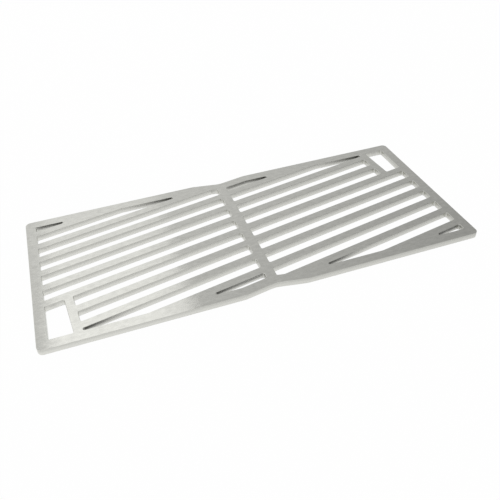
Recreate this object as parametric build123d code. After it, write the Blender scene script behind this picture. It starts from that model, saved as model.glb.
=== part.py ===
"""A flat grill grate, cut as one piece from steel plate.

The plate lies flat with its long side along X. The origin is the centre of its underside and +Z is up.
A rim runs round the plate and a spine crosses its middle, which leaves two windows.
Slanted bars cross the windows, and a finger hole takes the corner of each window.
The right window is the left one after half a turn about Z.
Sizes are in millimetres and angles in degrees.
"""
from build123d import *
from math import ceil, floor, radians, tan
import os

# Plate
length = 425.0
width = 180.0
thickness = 6.0
corner_radius = 5.0
edge_chamfer = 0.25

# Shallow notch in the middle of each long side, with ramps as steep as the bars
notch_length = 60.0
notch_radius = 20.0

# Rim round the windows, and the spine between them
rim_width = 10.0
spine_width = 10.0

# Slanted bars, and the slots between them
bar_angle = 10.0
bar_width = 8.1
slot_width = 12.5
slot_corner_radius = 1.5

# How far the right window's bars lie behind the line of the left window's bars
bar_step = 1.4

# Finger hole at the front of the left window, with a slanted strip between it and the slots
hole_width = 21.4
strip_angle = 5.0
strip_width = 8.1

# Values that follow from these
pitch = bar_width + slot_width
reach = length + width
window_left = rim_width - length / 2
window_front = rim_width - width / 2
middle_bar = -bar_step / 2
least_slot_depth = 3 * slot_corner_radius


def plate_outline():
    """The outer shape: a rectangle with a notch in each long side, and all its corners rounded."""
    half_length = length / 2
    half_width = width / 2
    notch_end = notch_length / 2
    notch_floor = half_width - notch_end * tan(radians(bar_angle))
    back_edge = [(half_length, half_width), (notch_end, half_width), (0, notch_floor)]
    back_edge += [(-notch_end, half_width), (-half_length, half_width)]
    front_edge = [(-x, -y) for x, y in back_edge]
    outline = make_face(Polyline(back_edge + front_edge, close=True))
    notch_corners = outline.vertices().filter_by_position(Axis.X, -notch_length, notch_length)
    outline = fillet(notch_corners, notch_radius)
    by_length = outline.vertices().group_by(Axis.X)
    return fillet(by_length[0] + by_length[-1], corner_radius)


def left_window(outline):
    """The area inside the rim, from the left end to the spine."""
    right_of_spine = Pos(-spine_width / 2, 0) * Rectangle(reach, reach, align=(Align.MIN, Align.CENTER))
    return offset(outline, -rim_width) - right_of_spine


def beside_strip(distance):
    """Everything to the left of a line along the strip, at a distance from the strip's hole side."""
    hole_corner = Pos(window_left + hole_width, window_front)
    half_plane = Rectangle(reach, reach, align=(Align.MAX, Align.CENTER))
    return hole_corner * Rot(Z=strip_angle) * Pos(distance, 0) * half_plane


def slot_band(number):
    """One endless slot. Slots are counted from the middle bar, and those in front of it are negative."""
    centre_line = middle_bar + (number + 0.5) * pitch
    return Rot(Z=bar_angle) * Pos(0, centre_line) * Rectangle(2 * reach, slot_width)


def slot_numbers(window):
    """The slots that reach far enough into the window to be cut."""
    across = (Rot(Z=-bar_angle) * window).bounding_box()
    depth = slot_width / 2 - least_slot_depth
    first = ceil((across.min.Y - depth - middle_bar) / pitch - 0.5)
    last = floor((across.max.Y + depth - middle_bar) / pitch - 0.5)
    return range(first, last + 1)


def finger_hole(window):
    """The corner of the window in front of the middle bar, up to the strip."""
    bar_front = middle_bar - bar_width / 2
    in_front = Pos(0, bar_front) * Rectangle(2 * reach, reach, align=(Align.CENTER, Align.MAX))
    return window & beside_strip(0) & (Rot(Z=bar_angle) * in_front)


def round_corners(cut):
    """Rounds every corner of a cut-out, and ends its thin tips where the cutter's radius still fits."""
    return offset(offset(cut, -slot_corner_radius), slot_corner_radius)


def left_cuts(outline):
    """All cut-outs of the left window. The slots in front of the middle bar stop at the strip."""
    window = left_window(outline)
    slots_area = window - beside_strip(strip_width)
    cuts = [finger_hole(window)]
    for number in slot_numbers(window):
        area = slots_area if number < 0 else window
        cuts.append(area & slot_band(number))
    return [round_corners(cut) for cut in cuts]


def grill_grate():
    """The whole plate, with its edges deburred on both faces."""
    outline = plate_outline()
    cuts = left_cuts(outline)
    cuts += [Rot(Z=180) * cut for cut in cuts]
    plate = extrude(outline - cuts, thickness)
    by_height = plate.edges().group_by(Axis.Z)
    return chamfer(by_height[0] + by_height[-1], edge_chamfer)


os.makedirs("parts", exist_ok=True)
export_step(grill_grate(), "parts/grill_grate.step")
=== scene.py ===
"""Looks of the grill grate: brushed steel, on a white floor under soft studio light.

Everything is in metres, in the frame of the solid model: X runs along the plate, Z is up,
and the origin is under the plate's middle, on the floor. Angles are in degrees.
"""
import bmesh
import bpy
from math import cos, pi, radians, sin
from mathutils import Matrix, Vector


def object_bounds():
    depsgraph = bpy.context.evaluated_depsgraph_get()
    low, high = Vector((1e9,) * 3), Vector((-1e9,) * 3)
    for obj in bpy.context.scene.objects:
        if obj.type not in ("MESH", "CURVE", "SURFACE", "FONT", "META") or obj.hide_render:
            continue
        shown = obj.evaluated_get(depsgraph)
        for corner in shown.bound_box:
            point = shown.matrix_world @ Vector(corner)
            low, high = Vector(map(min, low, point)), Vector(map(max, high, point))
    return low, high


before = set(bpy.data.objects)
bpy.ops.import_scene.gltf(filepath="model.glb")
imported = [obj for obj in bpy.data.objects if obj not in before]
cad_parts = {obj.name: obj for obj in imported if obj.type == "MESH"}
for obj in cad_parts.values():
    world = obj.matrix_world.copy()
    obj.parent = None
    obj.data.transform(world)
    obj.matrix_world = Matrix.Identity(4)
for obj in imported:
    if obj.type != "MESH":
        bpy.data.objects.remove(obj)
cad_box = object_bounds()
white = (1.0, 1.0, 1.0, 1.0)

# Camera, found from the plate's edges in the photograph. The sensor's side is in millimetres.
photo_side = 500
focal_pixels = 584.9
axis_pixel = (229.1, 213.9)
sensor_side = 36.0
camera_place = (-0.1456, -0.4396, 0.3796)
camera_turn = 16.5
camera_tilt = 37.45
camera_roll = -3.05
nearest_seen = 0.01

# Floor, a white sheet that bends up all round into a low wall. Reflections of it have a painted fall-off of
# light to the right.
floor_radius = 2.2
wall_radius = 1.0
bend_steps = 16
turn_steps = 96
merge_distance = 1e-5
floor_white = 0.9
floor_glow = 0.985
floor_right_painted_glow = 0.84

# Directions tried from a point to tell how open it lies
openness_samples = 16

# Painted shadow of the plate on the floor, in the narrow ends of the slots
shadow_reach = 0.012
shadow_full = 0.10
shadow_none = 0.28
shadow_level = 0.20

# Grey room above the wall: dark overhead, and paler towards the back, the front and the left
room_level = 0.115
room_fall_right = 0.29
room_rise_back = 0.90
room_rise_front = 1.10
room_rise_left = 1.00
room_darkest = 0.30
room_palest = 1.0

# Softbox over the left half of the plate. A weaker one below it ends further left, which softens the edge.
softbox_left = -0.348
softbox_right = 0.100
softbox_middle_right = 0.01
softbox_near = 0.10
softbox_far = 1.70
softbox_height = 1.0
softbox_middle_height = 0.98
softbox_brightness = 0.40
softbox_middle_brightness = 0.09
softbox_spread = 116.0
softbox_turn = 2.0

# Steel: its colour, and the sizes of its marks along X, Y and Z
steel_colour = (0.612, 0.612, 0.575)
grain_size = (0.030, 0.0005, 0.0005)
speckle_size = (0.006, 0.003, 0.003)
cloud_size = (0.05, 0.03, 0.03)
cutting_line_size = (0.0006, 0.0006, 0.02)
relief_height = 0.00002

# How much finer detail each kind of mark holds, and the range that its values mostly stay in
grain_detail = 3.0
speckle_detail = 5.0
cloud_detail = 2.0
cutting_line_detail = 2.0
plain_harshness = 0.5
speckle_harshness = 0.65
usual_range = (0.3, 0.7)

# What the marks do to the roughness and the shade of the steel, as lowest and highest value
speckle_roughness = (-0.01, 0.01)
cloud_roughness = (0.088, 0.098)
wall_roughness = (0.32, 0.40)
speckle_shade = (0.90, 1.10)
grain_shade = (0.96, 1.04)
cutting_line_shade = (0.97, 1.03)

# Painted shade on the cut walls: pale at the foot and greyer above. Heights are shares of the plate's
# thickness.
steepest_flat = 0.5
wall_shade_below = 1.16
slot_shade_above = 0.94
outer_shade_above = 1.02
open_slot = 0.86
wall_fade = (0.3, 0.9)

# Painted shade in the narrow ends of the slots, where all but the foot of a wall is dark
gap_reach = 0.014
gap_closed = 0.62
gap_open = 0.80
gap_shade = 0.20
gap_fade = (0.05, 0.60)
corner_openness = 0.45
end_wall_openness = 0.25
end_wall_turn = (0.18, 0.30)


def add_node(tree, kind, inputs=None, **settings):
    """Adds one shader node. Inputs are sockets' own values, and settings are the node's properties."""
    node = tree.nodes.new(kind)
    for name, value in settings.items():
        setattr(node, name, value)
    for name, value in (inputs or {}).items():
        node.inputs[name].default_value = value
    return node


def new_material(name):
    """An empty material, with its node tree and its output."""
    material = bpy.data.materials.new(name)
    material.use_nodes = True
    tree = material.node_tree
    tree.nodes.clear()
    output = add_node(tree, "ShaderNodeOutputMaterial")
    return material, tree, output


def facing(tree):
    """The direction that the surface faces."""
    shape = add_node(tree, "ShaderNodeNewGeometry")
    return shape.outputs["True Normal"]


def place_on_object(tree):
    """The place on the object, in its own frame."""
    place = add_node(tree, "ShaderNodeTexCoord")
    return place.outputs["Object"]


def part_of(tree, vector, axis):
    """A vector's part along one axis."""
    parts = add_node(tree, "ShaderNodeSeparateXYZ")
    tree.links.new(vector, parts.inputs["Vector"])
    return parts.outputs[axis]


def combine(tree, operation, first, second):
    """One sum on two values."""
    node = add_node(tree, "ShaderNodeMath", operation=operation)
    for socket, value in zip(node.inputs, (first, second)):
        if isinstance(value, float):
            socket.default_value = value
        else:
            tree.links.new(value, socket)
    return node.outputs["Value"]


def choose(tree, factor, first, second):
    """The first value where the factor is 0, and the second where it is 1."""
    node = add_node(tree, "ShaderNodeMix", data_type="FLOAT")
    tree.links.new(factor, node.inputs["Factor"])
    tree.links.new(first, node.inputs["A"])
    tree.links.new(second, node.inputs["B"])
    return node.outputs["Result"]


def map_range(tree, value, low, high, low_result, high_result, **settings):
    """Maps one range of a value to another, and stays inside it."""
    limits = {"From Min": low, "From Max": high, "To Min": low_result, "To Max": high_result}
    node = add_node(tree, "ShaderNodeMapRange", limits, **settings)
    tree.links.new(value, node.inputs["Value"])
    return node.outputs["Result"]


def stretched_noise(tree, sizes, detail, harshness=plain_harshness):
    """A noise whose grains have the given sizes along X, Y and Z, in metres."""
    grains = add_node(tree, "ShaderNodeMapping")
    grains.inputs["Scale"].default_value = [1 / size for size in sizes]
    values = {"Scale": 1.0, "Detail": detail, "Roughness": harshness}
    noise = add_node(tree, "ShaderNodeTexNoise", values)
    tree.links.new(place_on_object(tree), grains.inputs["Vector"])
    tree.links.new(grains.outputs["Vector"], noise.inputs["Vector"])
    return noise.outputs["Fac"]


def spread(tree, noise, limits):
    """Maps a noise's usual range to the given one."""
    return map_range(tree, noise, *usual_range, *limits)


def wall_mask(tree):
    """0 on the flat faces and 1 on the cut walls."""
    flatness = combine(tree, "ABSOLUTE", part_of(tree, facing(tree), "Z"), 0.0)
    return combine(tree, "LESS_THAN", flatness, steepest_flat)


def height_on_wall(tree):
    """0 at the lower edge of the cut walls and 1 at the upper edge."""
    height = part_of(tree, place_on_object(tree), "Z")
    return combine(tree, "DIVIDE", height, cad_box[1][2])


def gap_openness(tree, side):
    """How open a slot is before one of its walls, looking half to one side along the wall."""
    ahead = facing(tree)
    along = add_node(tree, "ShaderNodeVectorMath", operation="CROSS_PRODUCT")
    along.inputs[1].default_value = (0.0, 0.0, side)
    aslant = add_node(tree, "ShaderNodeVectorMath", operation="ADD")
    unit = add_node(tree, "ShaderNodeVectorMath", operation="NORMALIZE")
    openness = add_node(tree, "ShaderNodeAmbientOcclusion", {"Distance": gap_reach},
                        only_local=True, samples=openness_samples)
    tree.links.new(ahead, along.inputs[0])
    tree.links.new(ahead, aslant.inputs[0])
    tree.links.new(along.outputs["Vector"], aslant.inputs[1])
    tree.links.new(aslant.outputs["Vector"], unit.inputs[0])
    tree.links.new(unit.outputs["Vector"], openness.inputs["Normal"])
    return openness.outputs["AO"]


def painted_wall_shade(tree):
    """Painted shade on the slot walls: pale at the foot and grey at the top, and dark where a slot runs out
    to a slit.
    """
    height = height_on_wall(tree)
    one_side = gap_openness(tree, -1.0)
    other_side = gap_openness(tree, 1.0)
    openness = combine(tree, "MAXIMUM", one_side, other_side)

    # Painted shade: the plate's outer walls face no other wall, and stay nearly even
    above = map_range(tree, openness, open_slot, 1.0, slot_shade_above, outer_shade_above)
    change = combine(tree, "SUBTRACT", above, wall_shade_below)
    upper = map_range(tree, height, *wall_fade, 0.0, 1.0, interpolation_type="SMOOTHSTEP")
    shade = combine(tree, "ADD", wall_shade_below, combine(tree, "MULTIPLY", upper, change))

    # The corners of a slot count as more open, and so do the short walls at its ends
    corner = combine(tree, "ABSOLUTE", combine(tree, "SUBTRACT", one_side, other_side), 0.0)
    openness = combine(tree, "ADD", openness, combine(tree, "MULTIPLY", corner, corner_openness))
    lengthwise = combine(tree, "ABSOLUTE", part_of(tree, facing(tree), "X"), 0.0)
    end_wall = map_range(tree, lengthwise, *end_wall_turn, 0.0, end_wall_openness)
    openness = combine(tree, "ADD", openness, end_wall)

    # Painted shade: in the slits all but the foot of a wall is dark
    open_share = map_range(tree, openness, gap_closed, gap_open, 0.0, 1.0)
    closed_share = combine(tree, "SUBTRACT", 1.0, combine(tree, "MULTIPLY", open_share, open_share))
    painted_slit_darkening = map_range(tree, height, *gap_fade, 0.0, 1 - gap_shade)
    gap = combine(tree, "SUBTRACT", 1.0, combine(tree, "MULTIPLY", closed_share, painted_slit_darkening))
    return combine(tree, "MULTIPLY", shade, gap)


def steel():
    """Plate steel with a fine grain along X, cloudy from grinding, and walls with upright cutting lines and
    painted shade.
    """
    material, tree, output = new_material("steel")
    surface = add_node(tree, "ShaderNodeBsdfPrincipled", {"Metallic": 1.0})
    walls = wall_mask(tree)
    grain = stretched_noise(tree, grain_size, grain_detail)
    speckle = stretched_noise(tree, speckle_size, speckle_detail, speckle_harshness)
    clouds = stretched_noise(tree, cloud_size, cloud_detail)
    cutting_lines = stretched_noise(tree, cutting_line_size, cutting_line_detail)

    clouded = spread(tree, clouds, cloud_roughness)
    flat_roughness = combine(tree, "ADD", spread(tree, speckle, speckle_roughness), clouded)
    cut_roughness = spread(tree, cutting_lines, wall_roughness)
    roughness = choose(tree, walls, flat_roughness, cut_roughness)
    tree.links.new(roughness, surface.inputs["Roughness"])

    grained = spread(tree, grain, grain_shade)
    flat_shade = combine(tree, "MULTIPLY", spread(tree, speckle, speckle_shade), grained)
    lined = spread(tree, cutting_lines, cutting_line_shade)
    # The cut walls' tone is painted shade times the cutting lines' own marks
    cutting_lines_and_painted_shade = combine(tree, "MULTIPLY", painted_wall_shade(tree), lined)
    shade = choose(tree, walls, flat_shade, cutting_lines_and_painted_shade)
    tint = add_node(tree, "ShaderNodeVectorMath", operation="SCALE")
    tint.inputs[0].default_value = steel_colour
    tree.links.new(shade, tint.inputs["Scale"])
    tree.links.new(tint.outputs["Vector"], surface.inputs["Base Color"])

    relief = choose(tree, walls, grain, cutting_lines)
    bump = add_node(tree, "ShaderNodeBump", {"Strength": 1.0, "Distance": relief_height})
    tree.links.new(relief, bump.inputs["Height"])
    tree.links.new(bump.outputs["Normal"], surface.inputs["Normal"])
    tree.links.new(surface.outputs["BSDF"], output.inputs["Surface"])
    return material


def white_sheet():
    """White for the camera and in reflections, with a painted shadow in the narrow ends of the slots and
    painted light that falls off to the right in reflections.
    """
    material, tree, output = new_material("white_sheet")
    paper = add_node(tree, "ShaderNodeBsdfDiffuse", {"Color": (floor_white, floor_white, floor_white, 1.0)})
    glow = add_node(tree, "ShaderNodeEmission", {"Color": white})
    path = add_node(tree, "ShaderNodeLightPath")
    seen = combine(tree, "MAXIMUM", path.outputs["Is Camera Ray"], path.outputs["Is Glossy Ray"])
    seen = combine(tree, "MAXIMUM", seen, path.outputs["Is Transmission Ray"])
    share = combine(tree, "MULTIPLY", seen, floor_glow)
    # Painted shadow: the glow is dimmed where the plate closes in over the floor
    openness = add_node(tree, "ShaderNodeAmbientOcclusion", {"Distance": shadow_reach},
                        samples=openness_samples)
    lit = map_range(tree, openness.outputs["AO"], shadow_full, shadow_none, shadow_level, 1.0,
                    interpolation_type="SMOOTHSTEP")

    # Painted light: the floor's glow in reflections falls off to the right, which shows in the slots' walls
    across = part_of(tree, place_on_object(tree), "X")
    level = map_range(tree, across, cad_box[0][0], cad_box[1][0], 1.0, floor_right_painted_glow)
    level = combine(tree, "MAXIMUM", level, path.outputs["Is Camera Ray"])
    tree.links.new(combine(tree, "MULTIPLY", lit, level), glow.inputs["Strength"])

    mix = add_node(tree, "ShaderNodeMixShader")
    tree.links.new(share, mix.inputs["Fac"])
    tree.links.new(paper.outputs["BSDF"], mix.inputs[1])
    tree.links.new(glow.outputs["Emission"], mix.inputs[2])
    tree.links.new(mix.outputs["Shader"], output.inputs["Surface"])
    return material


def make_floor():
    """A round floor that bends up into a wall, made by turning its profile about Z."""
    profile = [(0.0, 0.0)]
    for step in range(bend_steps + 1):
        angle = 0.5 * pi * step / bend_steps
        profile.append((floor_radius + wall_radius * sin(angle), wall_radius * (1 - cos(angle))))
    mesh = bmesh.new()
    points = [mesh.verts.new((radius, 0.0, height)) for radius, height in profile]
    edges = [mesh.edges.new(pair) for pair in zip(points, points[1:])]
    bmesh.ops.spin(mesh, geom=points + edges, axis=(0, 0, 1), cent=(0, 0, 0), angle=2 * pi,
                   steps=turn_steps, use_merge=True)
    bmesh.ops.remove_doubles(mesh, verts=mesh.verts, dist=merge_distance)
    bmesh.ops.recalc_face_normals(mesh, faces=mesh.faces)
    data = bpy.data.meshes.new("floor")
    mesh.to_mesh(data)
    mesh.free()
    data.polygons.foreach_set("use_smooth", [True] * len(data.polygons))
    floor = bpy.data.objects.new("floor", data)
    floor.data.materials.append(white_sheet())
    bpy.context.scene.collection.objects.link(floor)


def make_room():
    """Grey surroundings: dark overhead, and paler towards the back, the front and the left."""
    world = bpy.data.worlds.new("room")
    world.use_nodes = True
    tree = world.node_tree
    tree.nodes.clear()
    direction = add_node(tree, "ShaderNodeTexCoord")
    parts = add_node(tree, "ShaderNodeSeparateXYZ")
    tree.links.new(direction.outputs["Generated"], parts.inputs["Vector"])
    back = combine(tree, "MULTIPLY", parts.outputs["Y"], room_rise_back)
    front = combine(tree, "MULTIPLY", parts.outputs["Y"], -room_rise_front)
    left = combine(tree, "MULTIPLY", parts.outputs["X"], -room_rise_left)
    right = combine(tree, "MULTIPLY", parts.outputs["X"], room_fall_right)
    level = combine(tree, "MAXIMUM", combine(tree, "MAXIMUM", back, front), left)
    level = combine(tree, "ADD", level, room_level)
    level = combine(tree, "SUBTRACT", level, right)
    level = combine(tree, "MAXIMUM", level, room_darkest)
    level = combine(tree, "MINIMUM", level, room_palest)
    background = add_node(tree, "ShaderNodeBackground", {"Color": white})
    output = add_node(tree, "ShaderNodeOutputWorld")
    tree.links.new(level, background.inputs["Strength"])
    tree.links.new(background.outputs["Background"], output.inputs["Surface"])
    bpy.context.scene.world = world


def make_softbox(name, right, height, brightness):
    """One wide soft lamp overhead. Its right edge shows on the plate as a change from pale to grey."""
    lamp = bpy.data.lights.new(name, "AREA")
    lamp.shape = "RECTANGLE"
    lamp.size = right - softbox_left
    lamp.size_y = softbox_far - softbox_near
    lamp.energy = brightness * pi * lamp.size * lamp.size_y
    lamp.spread = radians(softbox_spread)
    softbox = bpy.data.objects.new(name, lamp)
    middle_x = (softbox_left + right) / 2
    middle_y = (softbox_near + softbox_far) / 2
    softbox.location = (middle_x, middle_y, height)
    softbox.rotation_euler = (0.0, 0.0, radians(-softbox_turn))
    softbox.visible_camera = False
    bpy.context.scene.collection.objects.link(softbox)


def make_camera():
    """The photograph's camera."""
    data = bpy.data.cameras.new("camera")
    data.sensor_fit = "HORIZONTAL"
    data.sensor_width = sensor_side
    data.lens = sensor_side * focal_pixels / photo_side
    data.shift_x = 0.5 - axis_pixel[0] / photo_side
    data.shift_y = axis_pixel[1] / photo_side - 0.5
    data.clip_start = nearest_seen
    camera = bpy.data.objects.new("camera", data)
    turn = Matrix.Rotation(radians(-camera_turn), 4, "Z")
    tilt = Matrix.Rotation(radians(90 - camera_tilt), 4, "X")
    roll = Matrix.Rotation(radians(camera_roll), 4, "Z")
    camera.matrix_world = Matrix.Translation(camera_place) @ turn @ tilt @ roll
    bpy.context.scene.collection.objects.link(camera)
    bpy.context.scene.camera = camera


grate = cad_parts["grill_grate"]
grate.material_slots[0].material = steel()
make_floor()
make_room()
make_softbox("softbox", softbox_right, softbox_height, softbox_brightness)
make_softbox("softbox_middle", softbox_middle_right, softbox_middle_height, softbox_middle_brightness)
make_camera()
bpy.context.scene.view_settings.view_transform = "Standard"
